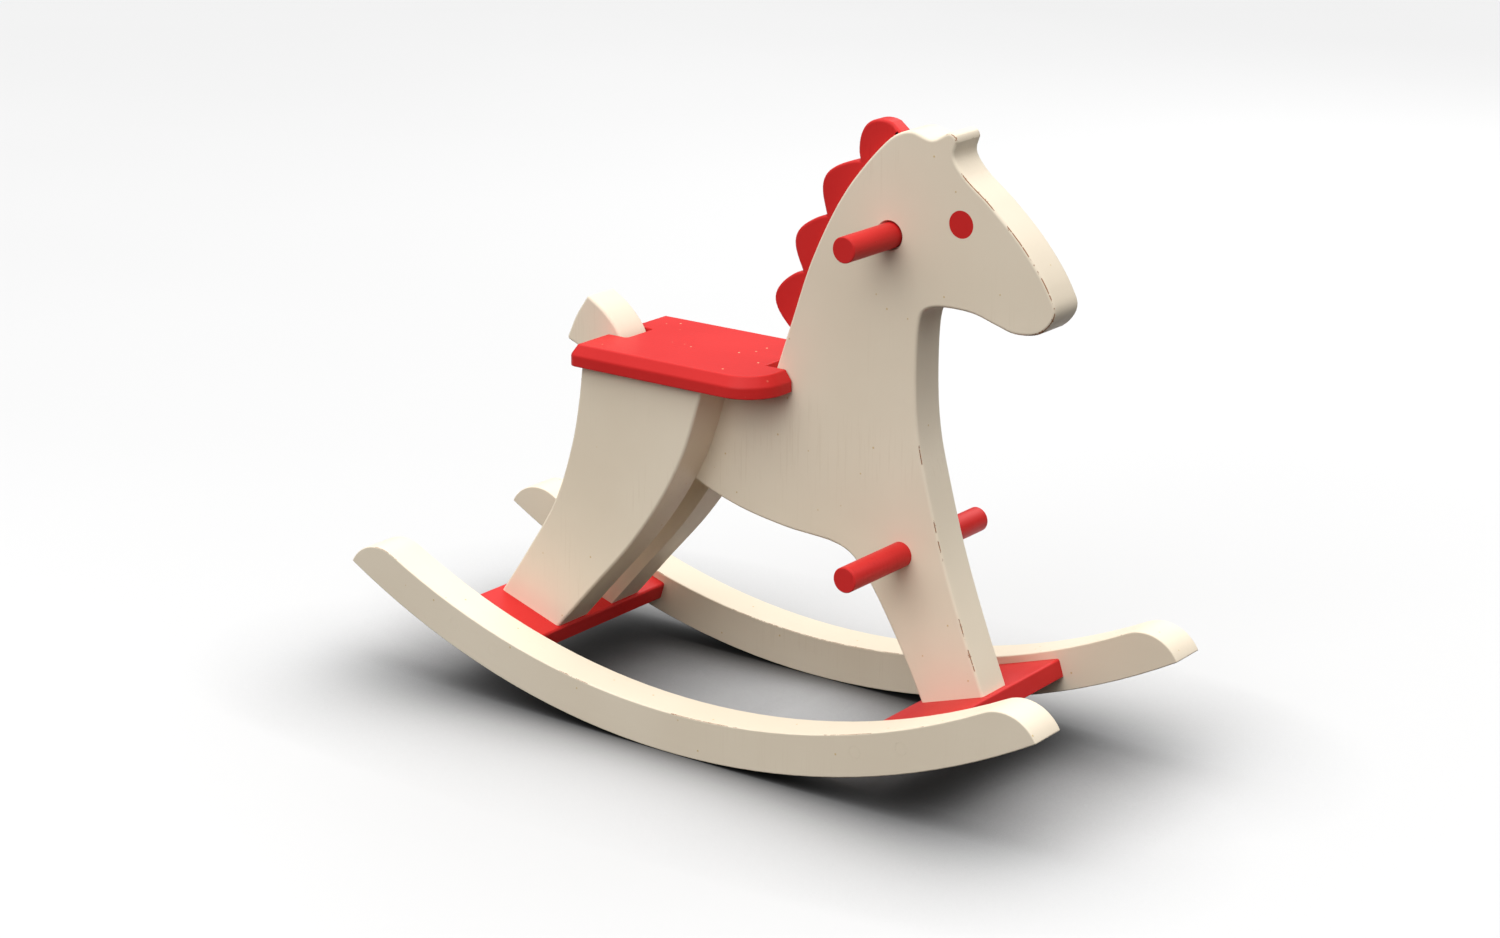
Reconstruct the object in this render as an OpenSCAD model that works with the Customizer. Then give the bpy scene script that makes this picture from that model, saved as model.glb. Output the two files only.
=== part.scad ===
// Rocking horse: a plank horse standing on two crossbars between two curved runners.
// +X is the way the horse faces, +Y its left side, +Z up. z = 0 is the floor the
// runners roll on, x = 0 the middle of the runners, y = 0 the middle of the body board.
// Sizes in millimetres.

/* [Runners] */
// Length of each runner from tip to tip
rocker_length = 800; // [700:10:960]
// Radius of the rolling edge of the runners
rocker_radius = 800; // [680:10:1000]
// Depth of a runner from its rolling edge to its top edge
rocker_depth = 40.5; // [36:0.5:50]
// Thickness of a runner board
rocker_t = 41; // [32:1:50]
// Clear gap between the two runners, which is also the length of a crossbar
rocker_gap = 205; // [170:5:260]

/* [Crossbars] */
// Width of a crossbar, front edge to back edge
bar_width = 86; // [80:1:104]
// Thickness of a crossbar
bar_t = 18; // [15:0.5:24]
// Height of a crossbar's top face above the rolling edge
bar_rise = 33; // [30:0.5:35]
// Small bevel on the long top edges of a crossbar
bar_bevel = 1.6; // [0.5:0.1:3]

/* [Horse] */
// Length of the horse from the nose to the tail
horse_length = 552; // [450:2:680]
// Height of the ear tip above the floor
horse_height = 596; // [480:2:730]
// Thickness of the body board
body_t = 40; // [32:1:50]
// Thickness of each rear leg board
leg_t = 44; // [36:1:54]
// Diameter of the red eye dowel
eye_d = 25; // [18:0.5:32]

/* [Seat] */
// Width of the seat board
seat_width = 150; // [132:2:184]
// Thickness of the seat board
seat_t = 21; // [18:0.5:28]
// How far the bevel cuts in from the seat's edge
seat_bevel_in = 7; // [4:0.5:10]
// How far the bevel reaches down from the seat's top face
seat_bevel_down = 10; // [6:0.5:13]
// Corner radius at the front of the seat, seen from above
seat_front_r = 40; // [28:1:48]
// Corner radius at the back of the seat, seen from above
seat_rear_r = 8.5; // [7.5:0.5:14]
// Gap between the seat's notches and the body board that passes through them
seat_gap = 0.7; // [0.3:0.1:2]

/* [Mane] */
// Thickness of the mane board
mane_t = 18; // [12:0.5:24]
// How far a scallop of the mane swells out beyond its two cusps
mane_swell = 22.5; // [16:0.5:28]

/* [Rods] */
// Diameter of the handle rod and of the foot rod
rod_d = 24; // [20:0.5:29]
// Length of the handle rod
handle_length = 183; // [150:1:220]
// Length of the foot rod
footrod_length = 221; // [180:1:260]
// How much wider than the rod the eased mouth of the handle hole is, on the radius
mouth_ease = 2.2; // [1:0.1:3]
// Depth of that eased mouth
mouth_depth = 3; // [1:0.5:5]
// Bevel on the ends of both rods
rod_bevel = 0.8; // [0.3:0.1:1.5]

/* [Dowels and screws] */
// Diameter of the dowels that join the mane to the neck
mane_dowel_d = 8; // [6:1:10]
// Diameter of the dowels under the seat
seat_dowel_d = 10; // [8:1:12]
// Diameter of the dowels that run through the body board into both rear legs
leg_dowel_d = 12; // [10:1:14]
// Radial clearance of every dowel and rod in its hole
fit_gap = 0.1; // [0.05:0.05:0.3]
// Air left beyond the end of a dowel or screw in its blind hole
end_gap = 1; // [0.5:0.5:3]
// Outer diameter of the wood screw threads
screw_d = 5; // [4:0.5:6]
// Diameter of a screw head
screw_head_d = 9.5; // [8:0.5:11]
// Thickness of a screw head
screw_head_t = 3; // [2:0.5:4]
// Length of the screws through the runners into the crossbars, under the head
bar_screw_l = 65; // [55:1:75]
// Length of the screws through the crossbars into the feet, under the head
foot_screw_l = 50; // [40:1:60]
// Diameter of the wooden plugs over the runner screws
plug_d = 12; // [11:0.5:14]
// Length of those plugs
plug_l = 8; // [5:0.5:10]

/* [Hidden] */
$fn = 96;

CREAM = [0.86, 0.80, 0.70];
RED = [0.78, 0.14, 0.13];
BEECH = [0.80, 0.64, 0.44];
STEEL = [0.62, 0.62, 0.60];

// The outlines below are drawn for a horse 552 long and 596 high that stands 71 above
// the floor. Every drawn point goes through at(), so the whole figure follows its sizes.
drawn_length = 552;
drawn_height = 596;
drawn_foot = 71;
front_foot_x = 234.1;
rear_foot_x = -236.7;
bar_r = rocker_radius - bar_rise;
kx = horse_length / drawn_length;
foot_z = rocker_radius - sqrt(bar_r * bar_r - pow(front_foot_x * kx, 2));
kz = (horse_height - foot_z) / (drawn_height - drawn_foot);
function at(p) = [p[0] * kx, foot_z + (p[1] - drawn_foot) * kz];
function all_at(pts) = [for (p = pts) at(p)];

// A smooth curve through a few points. The pull of a neighbour fades with its distance,
// so far and near points can follow each other. It is cut into flats about this long.
flat = 4.5;
function ease(a, b) = sqrt(norm(b - a));
function slope(a, b, c) = (b - a) / ease(a, b) - (c - a) / (ease(a, b) + ease(b, c))
    + (c - b) / ease(b, c);
function mix(a, b, c, d, t) = let (
        m = ease(b, c) * slope(a, b, c),
        n = ease(b, c) * (slope(d, c, b) * -1))
    b + m * t + (3 * (c - b) - 2 * m - n) * t * t + (2 * (b - c) + m + n) * t * t * t;
function flats(b, c) = max(2, ceil(norm(c - b) / flat));
function smooth(q) = let (n = len(q))
    [for (i = [0 : n - 2], j = [0 : flats(q[i], q[i + 1]) - 1])
        mix(i > 0 ? q[i - 1] : 2 * q[0] - q[1], q[i], q[i + 1],
            i + 2 < n ? q[i + 2] : 2 * q[n - 1] - q[n - 2], j / flats(q[i], q[i + 1]))];

// A crossbar lies flat on the curve of the runners. bar_at gives the point this far
// forward along it and this far below its top face.
front_tilt = asin(front_foot_x * kx / bar_r);
rear_tilt = asin(rear_foot_x * kx / bar_r);
function bar_at(tilt, along, down) = [
    (bar_r + down) * sin(tilt) + along * cos(tilt),
    rocker_radius - (bar_r + down) * cos(tilt) + along * sin(tilt)];

seat_z = at([0, 333])[1];
seat_top = seat_z + seat_t;
body_in = body_t / 2;
leg_out = body_in + leg_t;
leg_mid = body_in + leg_t / 2;
overall_half = rocker_gap / 2 + rocker_t;

// Front of the body board: up the chest, round the jaw and the nose, up the forehead,
// round the ear, over the poll and down the neck to the seat.
chest = [[248, 132], [223, 200], [203, 268], [192, 315], [188, 365], [190, 420]];
jaw = [[194, 431], [205, 437], [244, 438], [270, 431], [290, 426], [317, 431]];
nose = [[331, 450], [324, 469]];
forehead = [[297, 505], [263, 537], [233, 561]];
ear = [[223, 576], [226, 591], [219, 596], [200, 588]];
neck = [[178, 593], [162, 588], [148, 577], [108, 530], [73, 465], [48, 396], [26, 333]];
// The tail: its front from the seat up to the tip, then its back down to the corner.
tail_front = [[-146, 333], [-153, 354], [-171, 374], [-193, 388]];
tail_back = [[-193, 388], [-208, 366], [-220, 341]];
// The belly from the tail to the back of the front leg, then down that leg.
belly = [[-220, 341], [-183, 325], [-146, 294], [-110, 259], [-70, 231], [-18, 211],
    [42, 200], [98, 196], [115, 191], [128, 181], [148, 155], [181, 100]];
// The rear leg, down its back edge and up its front edge.
leg_back = [[-165, 333], [-170, 295], [-179, 252], [-201, 191], [-239, 130]];
leg_front = [[-157, 107], [-107, 163], [-69, 216], [-43, 265], [-20, 333]];
// Where each foot starts and ends along its crossbar.
front_foot = [-34.5 * kx, 36.2 * kx];
rear_foot = [-36.5 * kx, 39.5 * kx];

body_outline = concat(
    smooth(concat([bar_at(front_tilt, front_foot[1], 0)],
        all_at(concat(chest, jaw, nose, forehead, ear, neck)))),
    [at(neck[len(neck) - 1])],
    smooth(all_at(tail_front)), smooth(all_at(tail_back)),
    smooth(concat(all_at(belly), [bar_at(front_tilt, front_foot[0], 0)])),
    [bar_at(front_tilt, front_foot[0], 0)]);
leg_outline = concat(
    smooth(concat(all_at(leg_back), [bar_at(rear_tilt, rear_foot[0], 0)])),
    [bar_at(rear_tilt, rear_foot[0], 0)],
    smooth(concat([bar_at(rear_tilt, rear_foot[1], 0)], all_at(leg_front))),
    [at(leg_front[len(leg_front) - 1])]);

handle_at = at([157, 496]);
footrod_at = at([175.5, 200]);
eye_at = at([232.7, 516.4]);

// Seat: where it starts, where its two notches end, and where it stops.
seat_x0 = -173 * kx;
seat_notch_x0 = -143.5 * kx;
seat_notch_x1 = 21.6 * kx;
seat_x1 = 52 * kx;
notch_half = body_in + seat_gap;
notch_r = 4;

// Mane: the cusps between its scallops, from the poll to the seat. Each scallop swells by
// its share of mane_swell, leans towards its lower cusp where lean is over 1, and is
// plumper at its ends as plump goes towards 0. The lower end is the sharper, by taper.
cusps = all_at([[159, 588], [116, 557], [80, 502], [54, 446], [43, 387]]);
swells = [1.06, 0.97, 0.95, 1.15];
lean = [0.93, 1.15, 1.15, 1.1];
plump = [0.48, 0.7, 0.7, 0.65];
taper = 0.5;
scallop_flats = 18;
function across(a, b) = [b[1] - a[1], a[0] - b[0]] / norm(b - a);
function bulge(k, t) = pow(sin(180 * pow(t, lean[k])), plump[k] * (1 + taper * t));
function scallop(k) = let (a = cusps[k], b = cusps[k + 1], out = across(a, b))
    [for (i = [0 : scallop_flats - 1]) let (t = i / scallop_flats)
        a + (b - a) * t + out * bulge(k, t) * mane_swell * swells[k]];
mane_root = all_at([[80, 400], [140, 480], [185, 560], [175, 580]]);
mane_outline = concat(scallop(0), scallop(1), scallop(2), scallop(3), [cusps[4]], mane_root);

// Dowels: [x, z] of their middles. The mane's dowels cross the neck line at the middle
// of each scallop and point straight out of the neck.
mane_dowel_l = 40;
mane_dowel_in_mane = 15;
function lobe_mid(k) = (cusps[k] + cusps[k + 1]) / 2;
neck_inset = [14, 7, 9, 9];
seat_dowel_l = 34;
seat_dowel_up = 12;
panel_dowel_x = [-105 * kx, -45 * kx, 8 * kx];
leg_top_dowel_x = [-147 * kx, -42 * kx];
leg_dowel_at = all_at([[-131, 303], [-82, 297], [-60, 259]]);
leg_dowel_in_leg = 24;
leg_dowel_l = body_t + 2 * leg_dowel_in_leg;
dowel_bevel = 1;

// Screws: how far each pair stands to either side of the middle of its crossbar.
bar_screw_off = 26;
front_foot_off = 15;
rear_foot_off = 16;
screw_root = screw_d * 0.36;
screw_neck = screw_d * 0.45;
screw_plain = 0.38;
screw_tip = 6;
thread_pitch = 2.5;
head_bevel = 0.8;
slot_long = 4.8;
slot_wide = 1;
slot_deep = 1.8;
screw_clear = 0.3;
head_clear = 0.5;
plug_over_head = 0.3;
foot_head_deep = screw_head_t + 1;
bar_head_y = overall_half - plug_l - plug_over_head - screw_head_t;
bar_mid_down = bar_t / 2;

// A flat board: the outline of x and z, from y0 to y0 + t.
module board(y0, t) {
    translate([0, y0 + t, 0]) rotate([90, 0, 0]) linear_extrude(height = t) children();
}

// A straight round hole or bar along +Y, given its [x, z].
module along_y(p, y0, l, r) {
    translate([p[0], y0, p[1]]) rotate([-90, 0, 0]) cylinder(h = l, r = r);
}

// A dowel or rod standing on z = 0, with bevelled ends.
module dowel(d, l, bevel) {
    rotate_extrude() polygon([[0, 0], [d / 2 - bevel, 0], [d / 2, bevel],
        [d / 2, l - bevel], [d / 2 - bevel, l], [0, l]]);
}

// A wood screw: head top at z = screw_head_t, underside of the head at z = 0, point down.
module wood_screw(l) {
    plain = l * screw_plain;
    turns = floor((l - plain - screw_tip) / thread_pitch);
    thread_end = plain + turns * thread_pitch;
    difference() {
        rotate_extrude() polygon(concat(
            [[0, screw_head_t], [screw_head_d / 2 - head_bevel, screw_head_t],
             [screw_head_d / 2, screw_head_t - head_bevel], [screw_head_d / 2, 0],
             [screw_neck, 0], [screw_neck, -plain]],
            [for (k = [0 : turns - 1], s = [0 : 1])
                [s == 0 ? screw_root : screw_d / 2, -(plain + (k + s * 0.5) * thread_pitch)]],
            [[screw_root, -thread_end], [0, -l]]));
        for (a = [0, 90])
            rotate([0, 0, a])
                translate([-slot_long / 2, -slot_wide / 2, screw_head_t - slot_deep])
                    cube([slot_long, slot_wide, screw_head_t]);
    }
}

// The hole for a screw in the piece its head is sunk into, and the one its thread bites in.
module head_hole(sink_d, sink_up) {
    cylinder(h = sink_up, d = sink_d);
    translate([0, 0, -rocker_t]) cylinder(h = rocker_t + 1, d = screw_d + 2 * screw_clear);
}

module thread_hole(l) {
    translate([0, 0, -l - end_gap]) cylinder(h = l + end_gap, d = screw_d + 2 * fit_gap);
}

// Puts a child that points down onto every runner screw line of one crossbar.
module at_bar_screws(tilt) {
    for (side = [-1, 1], s = [-1, 1])
        let (p = bar_at(tilt, s * bar_screw_off, bar_mid_down))
            translate([p[0], side * bar_head_y, p[1]])
                rotate([side > 0 ? -90 : 90, 0, 0]) children();
}

// Puts a child that points up into the foot onto every screw line under a foot.
module at_foot_screws(tilt, off, rows) {
    for (y = rows, s = [-1, 1])
        let (p = bar_at(tilt, s * off, bar_t - foot_head_deep))
            translate([p[0], y, p[1]]) rotate([0, 180 - tilt, 0]) children();
}

module at_mane_dowels() {
    for (k = [0 : 3])
        let (m = lobe_mid(k) - across(cusps[k], cusps[k + 1]) * neck_inset[k],
             out = across(cusps[k], cusps[k + 1]))
            translate([m[0], 0, m[1]]) rotate([0, atan2(out[0], out[1]), 0]) children();
}

module dowel_at_mane(l, d, bevel) {
    translate([0, 0, mane_dowel_in_mane - l]) dowel(d, l, bevel);
}

module mane_dowel_holes() {
    at_mane_dowels()
        translate([0, 0, end_gap])
            dowel_at_mane(mane_dowel_l + 2 * end_gap, mane_dowel_d + 2 * fit_gap, 0.1);
}

module at_panel_dowels() {
    for (x = panel_dowel_x) translate([x, 0, seat_z]) children();
}

module at_leg_top_dowels(side) {
    for (x = leg_top_dowel_x) translate([x, side * leg_mid, seat_z]) children();
}

module seat_dowel() {
    translate([0, 0, seat_dowel_up - seat_dowel_l]) dowel(seat_dowel_d, seat_dowel_l, dowel_bevel);
}

module seat_dowel_hole() {
    translate([0, 0, seat_dowel_up - seat_dowel_l - end_gap])
        cylinder(h = seat_dowel_l + 2 * end_gap, d = seat_dowel_d + 2 * fit_gap);
}

module leg_dowel_holes() {
    for (p = leg_dowel_at)
        along_y(p, -leg_dowel_l / 2 - end_gap, leg_dowel_l + 2 * end_gap,
                leg_dowel_d / 2 + fit_gap);
}

module body_panel() {
    color(CREAM) difference() {
        board(-body_in, body_t) polygon(body_outline);
        along_y(handle_at, -body_t, 2 * body_t, rod_d / 2 + fit_gap);
        for (side = [-1, 1])
            translate([handle_at[0], side * body_in, handle_at[1]]) rotate([side * 90, 0, 0])
                cylinder(h = mouth_depth, r1 = rod_d / 2 + mouth_ease, r2 = rod_d / 2 + fit_gap);
        along_y(footrod_at, -body_t, 2 * body_t, rod_d / 2 + fit_gap);
        along_y(eye_at, -body_t, 2 * body_t, eye_d / 2 + fit_gap);
        leg_dowel_holes();
        at_panel_dowels() seat_dowel_hole();
        mane_dowel_holes();
        at_foot_screws(front_tilt, front_foot_off, [0]) thread_hole(foot_screw_l);
    }
}

module rear_leg(side) {
    color(CREAM) difference() {
        board(side > 0 ? body_in : -leg_out, leg_t) polygon(leg_outline);
        leg_dowel_holes();
        at_leg_top_dowels(side) seat_dowel_hole();
        at_foot_screws(rear_tilt, rear_foot_off, [side * leg_mid]) thread_hole(foot_screw_l);
    }
}

module rear_leg_right() {
    rear_leg(-1);
}

module rear_leg_left() {
    rear_leg(1);
}

// The seat seen from above, with true round corners.
module seat_plan() {
    hw = seat_width / 2;
    translate([seat_x0 + seat_rear_r, -hw])
        square([seat_x1 - seat_front_r - seat_x0 - seat_rear_r, seat_width]);
    translate([seat_x0, -hw + seat_rear_r])
        square([seat_rear_r + 1, seat_width - 2 * seat_rear_r]);
    translate([seat_x1 - seat_front_r - 1, -hw + seat_front_r])
        square([seat_front_r + 1, seat_width - 2 * seat_front_r]);
    for (s = [-1, 1]) {
        translate([seat_x0 + seat_rear_r, s * (hw - seat_rear_r)]) circle(r = seat_rear_r);
        translate([seat_x1 - seat_front_r, s * (hw - seat_front_r)]) circle(r = seat_front_r);
    }
}

// The bevelled upper layer of the seat, made of straight prisms and cone corners.
module seat_crown() {
    hw = seat_width / 2;
    b = seat_bevel_in;
    h = seat_bevel_down;
    x0 = seat_x0 + seat_rear_r;
    x1 = seat_x1 - seat_front_r;
    translate([x0, 0, 0]) rotate([90, 0, 90]) linear_extrude(height = x1 - x0)
        polygon([[-hw, 0], [hw, 0], [hw - b, h], [-hw + b, h]]);
    board(-hw + seat_rear_r, seat_width - 2 * seat_rear_r)
        polygon([[seat_x0, 0], [x0 + 1, 0], [x0 + 1, h], [seat_x0 + b, h]]);
    board(-hw + seat_front_r, seat_width - 2 * seat_front_r)
        polygon([[x1 - 1, 0], [seat_x1, 0], [seat_x1 - b, h], [x1 - 1, h]]);
    for (s = [-1, 1]) {
        translate([x0, s * (hw - seat_rear_r), 0])
            cylinder(h = h, r1 = seat_rear_r, r2 = seat_rear_r - b);
        translate([x1, s * (hw - seat_front_r), 0])
            cylinder(h = h, r1 = seat_front_r, r2 = seat_front_r - b);
    }
}

module seat_board() {
    color(RED) difference() {
        union() {
            translate([0, 0, seat_z]) linear_extrude(height = seat_t - seat_bevel_down) seat_plan();
            translate([0, 0, seat_top - seat_bevel_down]) seat_crown();
        }
        translate([0, 0, seat_z - 1]) linear_extrude(height = seat_t + 2) {
            translate([seat_x0 - 20, -notch_half])
                square([seat_notch_x0 - notch_r - seat_x0 + 20, 2 * notch_half]);
            translate([seat_notch_x0 - 2 * notch_r, -notch_half + notch_r])
                square([2 * notch_r, 2 * (notch_half - notch_r)]);
            for (s = [-1, 1])
                translate([seat_notch_x0 - notch_r, s * (notch_half - notch_r)]) circle(r = notch_r);
            translate([seat_notch_x1, -notch_half])
                square([seat_x1 - seat_notch_x1 + 20, 2 * notch_half]);
        }
        at_panel_dowels() seat_dowel_hole();
        at_leg_top_dowels(-1) seat_dowel_hole();
        at_leg_top_dowels(1) seat_dowel_hole();
    }
}

module mane_board() {
    color(RED) difference() {
        board(-mane_t / 2, mane_t) difference() {
            polygon(mane_outline);
            polygon(body_outline);
        }
        mane_dowel_holes();
    }
}

module round_rod(p, l) {
    color(RED) translate([p[0], -l / 2, p[1]]) rotate([-90, 0, 0]) dowel(rod_d, l, rod_bevel);
}

module handle_rod() {
    round_rod(handle_at, handle_length);
}

module foot_rod() {
    round_rod(footrod_at, footrod_length);
}

module eye_dowel() {
    color(RED) along_y(eye_at, -body_in, body_t, eye_d / 2);
}

// One runner seen from the side: part of a ring, each end rounded off from its top edge.
module runner_shape() {
    tip = asin(rocker_length / 2 / rocker_radius);
    full = tip - 2 * asin(rocker_depth / 2 / rocker_radius);
    reach = 2 * rocker_radius;
    intersection() {
        translate([0, rocker_radius]) difference() {
            circle(r = rocker_radius);
            circle(r = rocker_radius - rocker_depth);
        }
        union() {
            polygon([[0, rocker_radius],
                [-reach * sin(full), rocker_radius - reach * cos(full)],
                [reach * sin(full), rocker_radius - reach * cos(full)]]);
            for (s = [-1, 1])
                translate([s * rocker_radius * sin(full), rocker_radius * (1 - cos(full))])
                    circle(r = rocker_depth);
        }
    }
}

module runner(side) {
    color(CREAM) difference() {
        board(side > 0 ? rocker_gap / 2 : -overall_half, rocker_t) runner_shape();
        for (tilt = [front_tilt, rear_tilt])
            at_bar_screws(tilt)
                head_hole(plug_d + 2 * fit_gap, plug_l + plug_over_head + screw_head_t + 1);
    }
}

module runner_right() {
    runner(-1);
}

module runner_left() {
    runner(1);
}

module crossbar(tilt, foot_off, rows) {
    half = bar_width / 2;
    color(RED) difference() {
        board(-rocker_gap / 2, rocker_gap) polygon([
            bar_at(tilt, -half, bar_t), bar_at(tilt, half, bar_t),
            bar_at(tilt, half, bar_bevel), bar_at(tilt, half - bar_bevel, 0),
            bar_at(tilt, -half + bar_bevel, 0), bar_at(tilt, -half, bar_bevel)]);
        at_bar_screws(tilt) thread_hole(bar_screw_l);
        at_foot_screws(tilt, foot_off, rows)
            head_hole(screw_head_d + 2 * head_clear, foot_head_deep + 1);
    }
}

module front_crossbar() {
    crossbar(front_tilt, front_foot_off, [0]);
}

module rear_crossbar() {
    crossbar(rear_tilt, rear_foot_off, [-leg_mid, leg_mid]);
}

module mane_dowels() {
    color(BEECH) at_mane_dowels() dowel_at_mane(mane_dowel_l, mane_dowel_d, dowel_bevel);
}

module seat_panel_dowels() {
    color(BEECH) at_panel_dowels() seat_dowel();
}

module seat_leg_dowels() {
    color(BEECH) for (side = [-1, 1]) at_leg_top_dowels(side) seat_dowel();
}

module leg_dowels() {
    color(BEECH) for (p = leg_dowel_at)
        translate([p[0], -leg_dowel_l / 2, p[1]]) rotate([-90, 0, 0])
            dowel(leg_dowel_d, leg_dowel_l, dowel_bevel);
}

module front_bar_screws() {
    color(STEEL) at_bar_screws(front_tilt) wood_screw(bar_screw_l);
}

module rear_bar_screws() {
    color(STEEL) at_bar_screws(rear_tilt) wood_screw(bar_screw_l);
}

module bar_plugs(tilt) {
    color(CREAM) at_bar_screws(tilt)
        translate([0, 0, screw_head_t + plug_over_head]) cylinder(h = plug_l, d = plug_d);
}

module front_bar_plugs() {
    bar_plugs(front_tilt);
}

module rear_bar_plugs() {
    bar_plugs(rear_tilt);
}

module front_foot_screws() {
    color(STEEL) at_foot_screws(front_tilt, front_foot_off, [0]) wood_screw(foot_screw_l);
}

module rear_foot_screws() {
    color(STEEL) at_foot_screws(rear_tilt, rear_foot_off, [-leg_mid, leg_mid])
        wood_screw(foot_screw_l);
}

body_panel();
rear_leg_right();
rear_leg_left();
seat_board();
mane_board();
handle_rod();
foot_rod();
eye_dowel();
runner_right();
runner_left();
front_crossbar();
rear_crossbar();
mane_dowels();
seat_panel_dowels();
seat_leg_dowels();
leg_dowels();
front_bar_screws();
rear_bar_screws();
front_bar_plugs();
rear_bar_plugs();
front_foot_screws();
rear_foot_screws();
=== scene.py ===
"""A painted plank rocking horse: cream boards and runners, red seat, mane, rods and crossbars.

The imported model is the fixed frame. Each painted board is finished here as the workshop
would: its edges are rounded over, sanded and painted, and rubbed through where hands, feet
and the floor reach them. Lengths are in metres.
"""

import math

import bpy
from mathutils import Matrix, Vector


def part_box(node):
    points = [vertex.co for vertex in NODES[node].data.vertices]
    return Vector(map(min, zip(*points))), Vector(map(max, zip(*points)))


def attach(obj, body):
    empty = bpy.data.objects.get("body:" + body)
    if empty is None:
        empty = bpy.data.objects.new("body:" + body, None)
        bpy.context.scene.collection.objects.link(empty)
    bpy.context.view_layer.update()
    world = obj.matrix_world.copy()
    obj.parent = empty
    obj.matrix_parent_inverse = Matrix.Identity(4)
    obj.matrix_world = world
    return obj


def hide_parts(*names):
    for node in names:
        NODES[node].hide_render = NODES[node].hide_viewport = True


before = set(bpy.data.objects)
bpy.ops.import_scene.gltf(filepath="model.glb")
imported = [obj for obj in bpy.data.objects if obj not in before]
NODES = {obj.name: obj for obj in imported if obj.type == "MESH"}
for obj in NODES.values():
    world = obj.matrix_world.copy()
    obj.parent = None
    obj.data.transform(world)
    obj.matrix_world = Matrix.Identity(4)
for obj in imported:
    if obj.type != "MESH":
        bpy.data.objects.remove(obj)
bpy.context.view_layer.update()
BODY = "root"

# -------------------------------------------------------------------- measures of the wood

MM = 0.001
WELD = 0.02 * MM                 # triangle corners closer than this are one corner
FLAT_TURN = math.radians(0.4)    # faces that turn less than this are one flat face
SHARP_TURN = math.radians(34)    # an edge that turns more than this is a sawn edge
SMOOTH_TURN = math.radians(40)   # an edge that turns less than this looks smooth

BOARD_ROUND = 3.0 * MM           # body board and rear legs, rounded over with a router
MANE_ROUND = 3.0 * MM
SEAT_ROUND = 1.4 * MM
RUNNER_ROUND = 1.3 * MM          # runners, only broken with sandpaper
BAR_ROUND = 0.7 * MM
ROUND_STEPS = 5                  # strips across a rounded edge
STRIP_SHARE = 0.40               # a strip is narrower than this share of the edge's radius
FLATS_LEAD = 50                  # neutral: large faces lead the shading by their area alone

HOLE_SPAN = 45 * MM              # no drilled hole is this wide
FOOT_CLEAR = 5 * MM              # a foot's sole is less than this above the crossbar's top
FACES_DOWN = -0.8                # a sole's normal points further down than this
FACES_SIDEWAYS = 0.5             # a crossbar end's normal points further sideways than this

# --------------------------------------------------------------------- wear, grit, strokes

BODY_WEAR = 0.12                 # more makes more and longer worn patches
RUNNER_WEAR = 0.14
SEAT_WEAR = 0.10
RED_WEAR = 0.06                  # mane and crossbars
BESIDE_CREST = 0.40              # wear beside the crest of a rounded edge, as a share of full
EAR_RUB = 30 * MM                # how far the wear reaches from the ear's tip
NOSE_RUB = 85 * MM               # and from the nose
EYE_TO_NOSE = 40 * MM            # how far the nose is below the eye
RUB_CORE = 0.7                   # a rub is whole out to this share of its reach
WORN_FADE = 20 * MM              # wear along the body board comes in over this length
PATCH_FADE = 0.04                # how quickly a worn patch ends
WORN_DULLER = 0.3                # bare wood is this much rougher than the paint
PAINT_THICK = 0.3 * MM           # how deep a rubbed patch looks

GRAIN_SHOWS = 0.3                # how strongly each mark shows in the paint
STROKES_SHOW = 0.8
SPECKS_SHOW = 0.85
STROKES_HIGH = 0.6 * MM          # how high the strokes and the grit look
GRIT_HIGH = 0.5 * MM

GRIT_DENSITY = 83                # one cell of grit about every 12 mm
GRIT_SHARE = 0.25                # of those cells hold a speck
SPECK_CORE = 0.06                # a speck's radius, as a share of a cell
SPECK_RIM = 0.11                 # and with its soft rim, up to 2.6 mm across

# --------------------------------------------------------------------------------- colours

CREAM = (0.87, 0.765, 0.61, 1)
CREAM_SHADE = (0.82, 0.71, 0.555, 1)
CREAM_GRIT = (0.68, 0.50, 0.22, 1)
CREAM_GLOSS = 0.44               # roughness, near the middle of its range
CREAM_SHINE = 0.2                # specular level
RED = (0.66, 0.026, 0.024, 1)
RED_SHADE = (0.59, 0.019, 0.018, 1)
RED_GRIT = (0.95, 0.55, 0.33, 1)
RED_GLOSS = 0.40
RED_SHINE = 0.16
BARE_WOOD = (0.30, 0.13, 0.055, 1)
BARE_UNDER_RED = (0.34, 0.05, 0.03, 1)
BEECH = (0.62, 0.43, 0.25, 1)
BEECH_GRAIN = (0.50, 0.32, 0.17, 1)
BEECH_FLECK = (0.30, 0.16, 0.08, 1)
ZINC = (0.60, 0.60, 0.58, 1)
ZINC_CLOUD = (0.43, 0.43, 0.42, 1)
FLOOR_PALE = (0.600, 0.600, 0.600, 1)
FLOOR_DRIFT = (0.590, 0.590, 0.590, 1)
# the colour of the shadow painted into the floor under the horse
FLOOR_PAINTED_SHADOW = (0.004, 0.004, 0.004, 1)

# -------------------------------------------------------------------------- studio and lens

TENT = 2.75                      # brightness of the studio tent at its top
TENT_RIM = 0.10                  # and near the horizon
TENT_CURVE = 1.8                 # over 1, the brightness gathers at the top
FROM_BELOW = 0.0                 # what reaches an underside
TENT_CLOTH = 0.95                # how bright the tent itself looks
HORIZON = 0.03                   # half the height over which the rim fades out
SOFTBOX_SIDE = 2.0
SOFTBOX_TARGET = (0, 0, 0.3)
SIDE_POWER = 34                  # watts in the softbox on the right side; the other has half

FLOOR_WIDTH = 60
OVERHANG = 0.21                  # how far up something still shades the floor
SHADOW_DEPTH = 2.5               # over 1, the shade deepens under the wood
SHADOW_SAMPLES = 32

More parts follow.
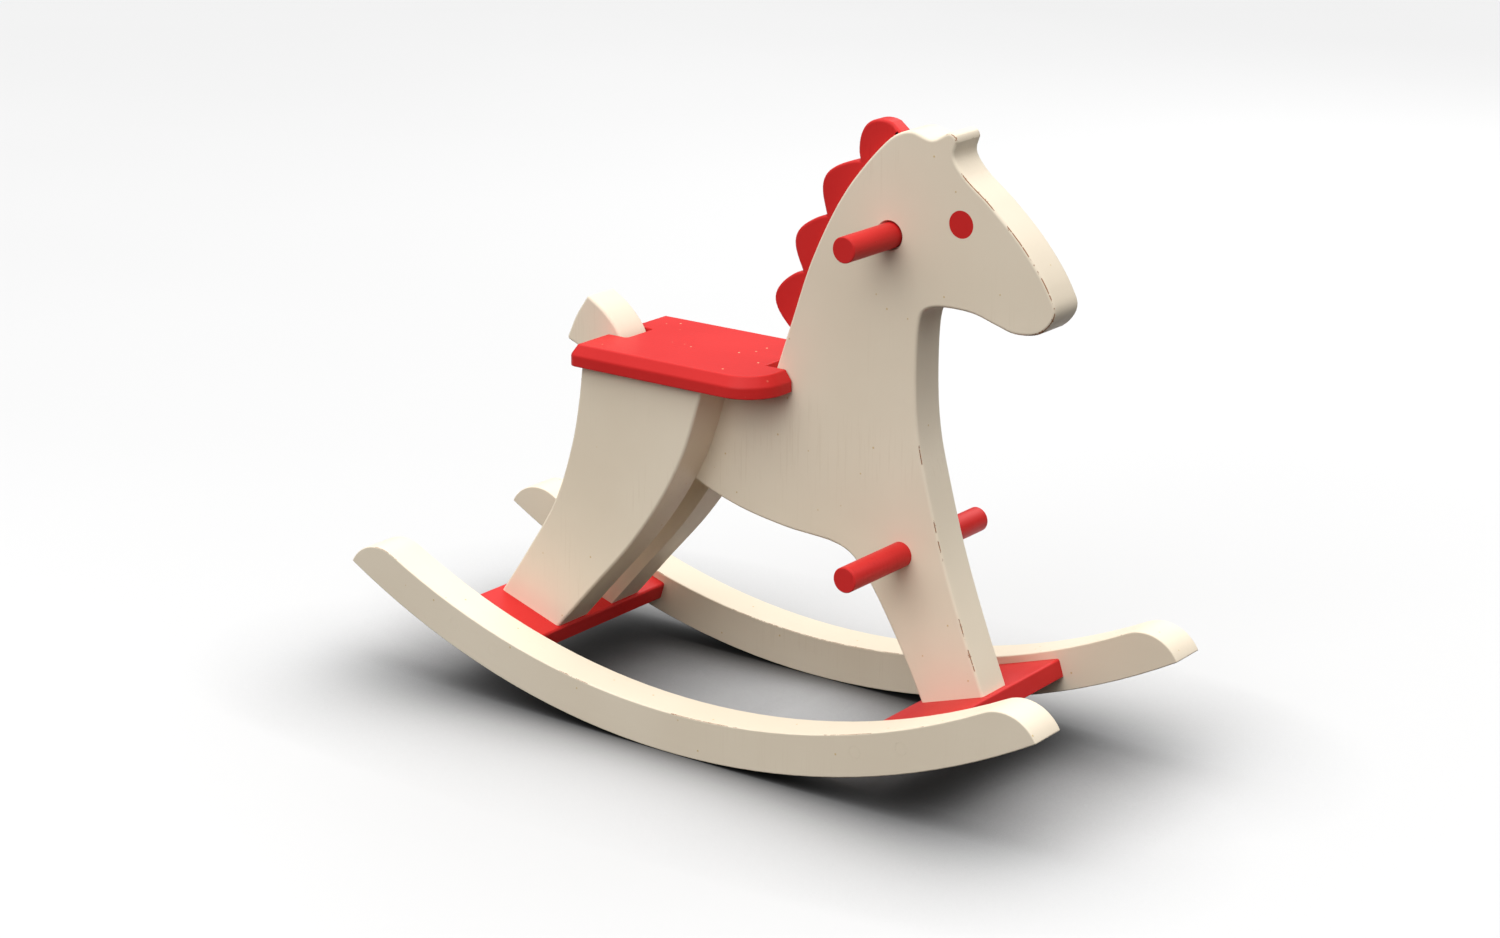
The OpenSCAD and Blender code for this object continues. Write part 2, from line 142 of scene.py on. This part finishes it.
LENS = 75.2                      # millimetres, on a sensor 36 mm wide
SENSOR = 36
CAMERA_PLACE = (1.6824, -2.2891, 1.1304)
CAMERA_ROUND = math.radians(36.5)    # forward of square on to the right side
CAMERA_UP = math.radians(17.35)
CAMERA_ROLL = math.radians(0.21)


# ------------------------------------------------------------------------------ the camera

def set_camera():
    """A long lens from the front right, looking a little down on the horse."""
    back = Vector((math.sin(CAMERA_ROUND) * math.cos(CAMERA_UP),
                   -math.cos(CAMERA_ROUND) * math.cos(CAMERA_UP),
                   math.sin(CAMERA_UP)))
    level = Vector((math.cos(CAMERA_ROUND), math.sin(CAMERA_ROUND), 0))
    upright = back.cross(level)
    right = math.cos(CAMERA_ROLL) * level + math.sin(CAMERA_ROLL) * upright
    up = math.cos(CAMERA_ROLL) * upright - math.sin(CAMERA_ROLL) * level
    data = bpy.data.cameras.new("camera")
    data.sensor_width = SENSOR
    data.lens = LENS
    camera = bpy.data.objects.new("camera", data)
    bpy.context.scene.collection.objects.link(camera)
    turn = Matrix((right, up, back)).transposed().to_4x4()
    camera.matrix_world = Matrix.Translation(CAMERA_PLACE) @ turn
    bpy.context.scene.camera = camera


# ------------------------------------------------------------------------- paint and steel

class Finish:
    """A material being mixed: a short way to add nodes and join them up."""

    def __init__(self, name):
        self.material = bpy.data.materials.new(name)
        self.material.use_nodes = True
        self.tree = self.material.node_tree
        self.shader = self.tree.nodes["Principled BSDF"]
        self.place = self.add("TexCoord").outputs["Object"]

    def add(self, kind, **values):
        node = self.tree.nodes.new("ShaderNode" + kind)
        for name, value in values.items():
            setattr(node, name, value)
        return node

    def feed(self, socket, value):
        """value is another node's output, or a plain number or colour."""
        if isinstance(value, bpy.types.NodeSocket):
            self.tree.links.new(value, socket)
        else:
            socket.default_value = value

    def stretched(self, scale):
        node = self.add("Mapping")
        self.feed(node.inputs["Vector"], self.place)
        node.inputs["Scale"].default_value = scale
        return node.outputs["Vector"]

    def noise(self, vector, scale, detail=2.0, roughness=0.5, distortion=0.0):
        """Soft noise with scale waves to the metre, about 0.5 on average."""
        node = self.add("TexNoise")
        self.feed(node.inputs["Vector"], vector)
        node.inputs["Scale"].default_value = scale
        node.inputs["Detail"].default_value = detail
        node.inputs["Roughness"].default_value = roughness
        node.inputs["Distortion"].default_value = distortion
        return node.outputs["Fac"]

    def between(self, value, low, high, to_low=0.0, to_high=1.0):
        """to_low where value is low or less, to_high where it is high or more, smooth between."""
        node = self.add("MapRange", interpolation_type="SMOOTHSTEP")
        self.feed(node.inputs["Value"], value)
        node.inputs["From Min"].default_value = low
        node.inputs["From Max"].default_value = high
        node.inputs["To Min"].default_value = to_low
        node.inputs["To Max"].default_value = to_high
        return node.outputs["Result"]

    def maths(self, operation, first, second):
        node = self.add("Math", operation=operation)
        self.feed(node.inputs[0], first)
        self.feed(node.inputs[1], second)
        return node.outputs["Value"]

    def blend(self, share, first, second):
        node = self.add("Mix", data_type="RGBA")
        self.feed(node.inputs["Factor"], share)
        self.feed(node.inputs["A"], first)
        self.feed(node.inputs["B"], second)
        return node.outputs["Result"]

    def relief(self, height, strength, distance, under=None):
        node = self.add("Bump")
        node.inputs["Strength"].default_value = strength
        node.inputs["Distance"].default_value = distance
        self.feed(node.inputs["Height"], height)
        if under is not None:
            self.feed(node.inputs["Normal"], under)
        return node.outputs["Normal"]


def grain_scale(along):
    """Noise is stretched along the grain, which runs along x, y or z."""
    return {"x": (1, 14, 14), "y": (14, 1, 14), "z": (14, 14, 1)}[along]


def brush_strokes(f):
    """Fine strokes drawn up and down the sides, in patches."""
    drawn = f.noise(f.stretched((150, 150, 5)), 2.4, detail=3, roughness=0.7)
    patches = f.noise(f.place, 9, detail=1)
    return f.maths("MULTIPLY", f.between(drawn, 0.54, 0.64), f.between(patches, 0.5, 0.6))


def caught_grit(f):
    """Grit caught in the wet paint: sparse round specks, one in some of the cells."""
    cells = f.add("TexVoronoi", feature="F1")
    f.feed(cells.inputs["Vector"], f.place)
    cells.inputs["Scale"].default_value = GRIT_DENSITY
    speck = f.between(cells.outputs["Distance"], SPECK_CORE, SPECK_RIM, 1.0, 0.0)
    lot = f.add("SeparateColor")
    f.feed(lot.inputs["Color"], cells.outputs["Color"])
    kept = f.between(lot.outputs["Red"], 1 - GRIT_SHARE, 1.01 - GRIT_SHARE)
    return f.maths("MULTIPLY", speck, kept)


def rubbed_through(f, wear, worn_from, rubs):
    """Thin broken lines along the crests of the rounded edges, where the paint is gone."""
    edge = f.add("Attribute", attribute_type="GEOMETRY", attribute_name="edge").outputs["Fac"]
    patch = f.between(f.noise(f.place, 13), 0.66 - wear, 0.66 + PATCH_FADE - wear)
    if worn_from is not None:
        along_x = f.add("SeparateXYZ")
        f.feed(along_x.inputs["Vector"], f.place)
        forward = f.between(along_x.outputs["X"], worn_from, worn_from + WORN_FADE)
        patch = f.maths("MULTIPLY", patch, forward)
    for centre, reach in rubs:
        away = f.add("VectorMath", operation="DISTANCE")
        f.feed(away.inputs[0], f.place)
        away.inputs[1].default_value = centre
        rub = f.between(away.outputs["Value"], RUB_CORE * reach, reach, 1.0, 0.0)
        patch = f.maths("MAXIMUM", patch, rub)
    worn = f.maths("MULTIPLY", edge, patch)
    # Near a threshold, fine noise decides, so the ends and sides of a patch are ragged.
    fine = f.noise(f.place, 85, detail=5, roughness=0.75)
    ragged = f.maths("ADD", fine, f.maths("MULTIPLY", worn, 0.27))
    return f.maths("MULTIPLY", f.between(ragged, 0.70, 0.75), f.between(worn, 0.1, 0.3))


def painted(name, coat, shade, bare, grit, along, wear, gloss, shine, worn_from=None, rubs=()):
    """Brushed paint over wood: faint grain, soft shade drifts, grit, and rubbed edges.

    Edges wear in patches, only forward of worn_from where that is given, and in every rub,
    which is a place and its reach.
    """
    f = Finish(name)
    lengthways = f.stretched(grain_scale(along))
    grain = f.noise(lengthways, 22, detail=6, roughness=0.62, distortion=0.25)
    drift = f.noise(f.place, 5.5, detail=3)
    fine = f.noise(f.place, 620)
    strokes = brush_strokes(f)
    specks = caught_grit(f)
    rubbed = rubbed_through(f, wear, worn_from, rubs)

    lines = f.between(grain, 0.55, 0.82)
    colour = f.blend(f.between(drift, 0.32, 0.72), coat, shade)
    colour = f.blend(f.maths("MULTIPLY", lines, GRAIN_SHOWS), colour, shade)
    colour = f.blend(f.maths("MULTIPLY", strokes, STROKES_SHOW), colour, shade)
    colour = f.blend(f.maths("MULTIPLY", specks, SPECKS_SHOW), colour, grit)
    colour = f.blend(rubbed, colour, bare)
    f.feed(f.shader.inputs["Base Color"], colour)

    rough = f.between(drift, 0.2, 0.8, gloss - 0.05, gloss + 0.07)
    rough = f.maths("ADD", rough, f.maths("MULTIPLY", rubbed, WORN_DULLER))
    f.feed(f.shader.inputs["Roughness"], rough)
    f.shader.inputs["Specular IOR Level"].default_value = shine

    brushed = f.maths("SUBTRACT", grain, f.maths("MULTIPLY", strokes, 0.3))
    gritty = f.maths("ADD", f.maths("MULTIPLY", fine, 0.12), specks)
    unrubbed = f.maths("SUBTRACT", 1.0, rubbed)
    surface = f.relief(brushed, 0.16, STROKES_HIGH)
    surface = f.relief(gritty, 0.3, GRIT_HIGH, surface)
    surface = f.relief(unrubbed, 0.4, PAINT_THICK, surface)
    f.feed(f.shader.inputs["Normal"], surface)
    return f.material


def cream_paint(along, wear, worn_from=None, rubs=()):
    return painted("cream_paint_" + along, CREAM, CREAM_SHADE, BARE_WOOD, CREAM_GRIT, along,
                   wear, CREAM_GLOSS, CREAM_SHINE, worn_from, rubs)


def red_paint(along, wear, grit=RED_SHADE):
    return painted("red_paint_" + along, RED, RED_SHADE, BARE_UNDER_RED, grit, along,
                   wear, RED_GLOSS, RED_SHINE)


def raw_beech():
    """Bare beech: short dark flecks along a pale pink-brown ground."""
    f = Finish("raw_beech")
    grain = f.noise(f.stretched((60, 60, 6)), 20, detail=5, roughness=0.6, distortion=0.4)
    flecks = f.between(f.noise(f.stretched((90, 90, 14)), 30), 0.6, 0.7)
    colour = f.blend(f.between(grain, 0.35, 0.7), BEECH, BEECH_GRAIN)
    colour = f.blend(f.maths("MULTIPLY", flecks, 0.7), colour, BEECH_FLECK)
    f.feed(f.shader.inputs["Base Color"], colour)
    f.feed(f.shader.inputs["Roughness"], f.between(grain, 0.3, 0.7, 0.5, 0.66))
    f.feed(f.shader.inputs["Normal"], f.relief(grain, 0.3, 0.3 * MM))
    return f.material


def zinc_steel():
    """Zinc-plated screw steel with a slightly cloudy, drawn surface."""
    f = Finish("zinc_steel")
    cloud = f.noise(f.place, 180, detail=4, roughness=0.6)
    colour = f.blend(f.between(cloud, 0.3, 0.7), ZINC, ZINC_CLOUD)
    f.feed(f.shader.inputs["Base Color"], colour)
    f.shader.inputs["Metallic"].default_value = 1.0
    f.feed(f.shader.inputs["Roughness"], f.between(cloud, 0.3, 0.7, 0.27, 0.42))
    f.feed(f.shader.inputs["Normal"], f.relief(cloud, 0.15, 0.1 * MM))
    return f.material


# ------------------------------------------------------------------------ finishing boards

def select_only(piece):
    bpy.ops.object.select_all(action="DESELECT")
    piece.select_set(True)
    bpy.context.view_layer.objects.active = piece


def copied(node, name):
    """A welded copy of a CAD board, with its flat faces made whole again."""
    source = NODES[node]
    piece = bpy.data.objects.new(name, source.data.copy())
    bpy.context.scene.collection.objects.link(piece)
    piece.data.name = name
    select_only(piece)
    bpy.ops.mesh.customdata_custom_splitnormals_clear()
    bpy.ops.object.mode_set(mode="EDIT")
    bpy.ops.mesh.select_all(action="SELECT")
    bpy.ops.mesh.remove_doubles(threshold=WELD)
    bpy.ops.mesh.dissolve_limited(angle_limit=FLAT_TURN)
    bpy.ops.object.mode_set(mode="OBJECT")
    return piece


def faces_beside_edges(mesh):
    """The faces on each edge: {edge key: [face, ...]}."""
    beside = {}
    for face in mesh.polygons:
        for key in face.edge_keys:
            beside.setdefault(key, []).append(face)
    return beside


def sawn_edges(mesh):
    """Edges that turn sharply: {edge index: (middle, the two faces' normals)}."""
    beside = faces_beside_edges(mesh)
    found = {}
    for edge in mesh.edges:
        normals = [face.normal.copy() for face in beside.get(edge.key, [])]
        if len(normals) == 2 and normals[0].angle(normals[1], 0.0) > SHARP_TURN:
            ends = [mesh.vertices[corner].co for corner in edge.vertices]
            found[edge.index] = ((ends[0] + ends[1]) / 2, normals)
    return found


def without_hole_rims(mesh, edges):
    """Leaves out the small closed rings, which are the rims of drilled holes."""
    at_corner = {}
    for index in edges:
        for corner in mesh.edges[index].vertices:
            at_corner.setdefault(corner, []).append(index)
    kept, seen = set(), set()
    for start in edges:
        if start in seen:
            continue
        ring, waiting = set(), [start]
        while waiting:
            index = waiting.pop()
            if index in ring:
                continue
            ring.add(index)
            for corner in mesh.edges[index].vertices:
                waiting.extend(at_corner[corner])
        seen |= ring
        middles = [edges[index][0] for index in ring]
        span = max(max(p[i] for p in middles) - min(p[i] for p in middles) for i in range(3))
        if span > HOLE_SPAN:
            kept |= ring
    return kept


def mark_rounded_edges(piece, widest):
    """Sets the attribute "edge": 1 on the crest of a rounded edge, less beside it, 0 on flats.

    A rounded edge is strips narrower than widest. Its crest is what is left when strips are
    taken off from both sides.
    """
    mesh = piece.data
    beside = faces_beside_edges(mesh)

    def length(edge_key):
        return (mesh.vertices[edge_key[0]].co - mesh.vertices[edge_key[1]].co).length

    def long_sides(index):
        return sorted(mesh.polygons[index].edge_keys, key=length)[-2:]

    crest = {face.index for face in mesh.polygons
             if len(face.edge_keys) <= 4 and min(map(length, face.edge_keys)) < widest}
    beside_crest = crest
    for _ in range(ROUND_STEPS // 2):
        beside_crest = crest
        crest = {index for index in beside_crest
                 if all(other.index in beside_crest
                        for key in long_sides(index) for other in beside[key])}
    edge = mesh.attributes.new("edge", "FLOAT", "CORNER")
    for face in mesh.polygons:
        worn = 1.0 if face.index in crest else BESIDE_CREST if face.index in beside_crest else 0.0
        for corner in face.loop_indices:
            edge.data[corner].value = worn


def finished_board(node, name, rounding, material, glued=None):
    """The board with its outline rounded over, standing for its CAD node.

    glued(middle, normals) is true for an edge that meets another board, which stays sharp.
    """
    piece = copied(node, name)
    mesh = piece.data
    edges = sawn_edges(mesh)
    weight = mesh.attributes.new("bevel_weight_edge", "FLOAT", "EDGE")
    for index in without_hole_rims(mesh, edges):
        if glued is None or not glued(*edges[index]):
            weight.data[index].value = 1.0
    bevel = piece.modifiers.new("round_over", "BEVEL")
    bevel.limit_method = "WEIGHT"
    bevel.width = rounding
    bevel.segments = ROUND_STEPS
    bevel.use_clamp_overlap = False
    select_only(piece)
    bpy.ops.object.modifier_apply(modifier=bevel.name)
    mark_rounded_edges(piece, STRIP_SHARE * rounding)
    bpy.ops.object.shade_smooth_by_angle(angle=SMOOTH_TURN)
    flats = piece.modifiers.new("level_flats", "WEIGHTED_NORMAL")
    flats.keep_sharp = True
    flats.weight = FLATS_LEAD
    bpy.ops.object.modifier_apply(modifier=flats.name)
    piece.data.materials.clear()
    piece.data.materials.append(material)
    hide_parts(node)
    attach(piece, BODY)


def dressed(node, material):
    """A CAD node whose shape is right already, given its finish."""
    piece = NODES[node]
    piece.data.materials.clear()
    piece.data.materials.append(material)


def middle_of(node):
    low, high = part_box(node)
    return (low + high) / 2


def body_and_legs():
    foot_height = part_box("front_crossbar")[1].z + FOOT_CLEAR
    seat_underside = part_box("seat_board")[0].z
    body_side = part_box("body_panel")[1].y

    def foot(middle, normals):
        return middle.z < foot_height and min(n.z for n in normals) < FACES_DOWN

    def leg_joint(middle, normals):
        on_seat = abs(middle.z - seat_underside) < MM
        on_body = abs(abs(middle.y) - body_side) < MM
        return foot(middle, normals) or on_seat or on_body

    # Small hands rub the ear and the nose, and shins the front of the body and the leg.
    eye = middle_of("eye_dowel")
    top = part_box("body_panel")[1]
    ear = (eye.x, 0, top.z)
    nose = (top.x, 0, eye.z - EYE_TO_NOSE)
    rubs = ((ear, EAR_RUB), (nose, NOSE_RUB))
    upright = cream_paint("z", BODY_WEAR, middle_of("foot_rod").x, rubs)
    finished_board("body_panel", "body_board", BOARD_ROUND, upright, foot)
    for side in ("right", "left"):
        finished_board("rear_leg_" + side, "rear_leg_board_" + side, BOARD_ROUND, upright,
                       leg_joint)


def runners():
    lengthways = cream_paint("x", RUNNER_WEAR)
    for side in ("right", "left"):
        finished_board("runner_" + side, "runner_board_" + side, RUNNER_ROUND, lengthways)
    for end in ("front", "rear"):
        dressed(end + "_bar_plugs", lengthways)


def bar_end(middle, normals):
    """The ends of a crossbar are glued against the runners."""
    return max(abs(n.y) for n in normals) > FACES_SIDEWAYS


def red_pieces():
    lengthways = red_paint("x", SEAT_WEAR, RED_GRIT)
    crossways = red_paint("y", RED_WEAR)
    upright = red_paint("z", RED_WEAR)
    finished_board("seat_board", "seat_plank", SEAT_ROUND, lengthways)
    finished_board("mane_board", "mane_fretwork", MANE_ROUND, upright)
    for end in ("front", "rear"):
        finished_board(end + "_crossbar", end + "_crossbar_plank", BAR_ROUND, crossways,
                       bar_end)
    for node in ("handle_rod", "foot_rod", "eye_dowel"):
        dressed(node, crossways)


def joinery():
    wood = raw_beech()
    steel = zinc_steel()
    for node in ("mane_dowels", "seat_panel_dowels", "seat_leg_dowels", "leg_dowels"):
        dressed(node, wood)
    for node in ("front_bar_screws", "rear_bar_screws", "front_foot_screws",
                 "rear_foot_screws"):
        dressed(node, steel)


# ------------------------------------------------------------------------- floor and light

def floor():
    """A plain pale floor with a painted shadow: its colour darkens wherever the horse overhangs
    it.
    """
    f = Finish("studio_floor")
    drift = f.noise(f.place, 0.8)
    colour = f.blend(f.between(drift, 0.3, 0.7), FLOOR_PALE, FLOOR_DRIFT)
    # Painted shadow: ambient occlusion darkens the floor's colour under and beside the horse.
    open_sky = f.add("AmbientOcclusion", samples=SHADOW_SAMPLES)
    open_sky.inputs["Distance"].default_value = OVERHANG
    lit = f.maths("POWER", open_sky.outputs["AO"], SHADOW_DEPTH)
    f.feed(f.shader.inputs["Base Color"], f.blend(lit, FLOOR_PAINTED_SHADOW, colour))
    f.shader.inputs["Roughness"].default_value = 0.85
    bpy.ops.mesh.primitive_plane_add(size=FLOOR_WIDTH, location=(0, 0, 0))
    plane = bpy.context.object
    plane.name = "studio_floor"
    plane.data.materials.append(f.material)
    plane.visible_diffuse = False
    plane.visible_shadow = False


def dome():
    """A white tent, brightest overhead and dark from below, that looks plain pale itself."""
    world = bpy.data.worlds.new("studio")
    world.use_nodes = True
    tree = world.node_tree
    sky = tree.nodes["Background"]
    sky.inputs["Color"].default_value = (1, 1, 1, 1)
    up = tree.nodes.new("ShaderNodeSeparateXYZ")
    place = tree.nodes.new("ShaderNodeTexCoord")
    tree.links.new(place.outputs["Generated"], up.inputs["Vector"])
    height = tree.nodes.new("ShaderNodeMapRange")
    rim = tree.nodes.new("ShaderNodeMapRange")
    for node, values in ((height, (HORIZON, 1.0, 0.0, 1.0)),
                         (rim, (-HORIZON, HORIZON, FROM_BELOW, TENT_RIM))):
        tree.links.new(up.outputs["Z"], node.inputs["Value"])
        for socket, value in zip(("From Min", "From Max", "To Min", "To Max"), values):
            node.inputs[socket].default_value = value
    gathered = tree.nodes.new("ShaderNodeMath")
    gathered.operation = "POWER"
    tree.links.new(height.outputs["Result"], gathered.inputs[0])
    gathered.inputs[1].default_value = TENT_CURVE
    total = tree.nodes.new("ShaderNodeMath")
    total.operation = "MULTIPLY_ADD"
    tree.links.new(gathered.outputs["Value"], total.inputs[0])
    total.inputs[1].default_value = TENT - TENT_RIM
    tree.links.new(rim.outputs["Result"], total.inputs[2])
    seen = tree.nodes.new("ShaderNodeMix")
    looked_at = tree.nodes.new("ShaderNodeLightPath").outputs["Is Camera Ray"]
    tree.links.new(looked_at, seen.inputs["Factor"])
    tree.links.new(total.outputs["Value"], seen.inputs["A"])
    seen.inputs["B"].default_value = TENT_CLOTH
    tree.links.new(seen.outputs["Result"], sky.inputs["Strength"])
    bpy.context.scene.world = world


def softbox(name, place, power):
    data = bpy.data.lights.new(name, "AREA")
    data.size = SOFTBOX_SIDE
    data.energy = power
    lamp = bpy.data.objects.new(name, data)
    bpy.context.scene.collection.objects.link(lamp)
    lamp.location = place
    aim = Vector(SOFTBOX_TARGET) - Vector(place)
    lamp.rotation_euler = aim.to_track_quat("-Z", "Y").to_euler()


set_camera()
floor()
dome()
softbox("right_softbox", (0.2, -2.9, 1.95), SIDE_POWER)
softbox("left_softbox", (-0.2, 2.9, 1.95), SIDE_POWER / 2)
bpy.context.scene.view_settings.view_transform = "Standard"
body_and_legs()
runners()
red_pieces()
joinery()
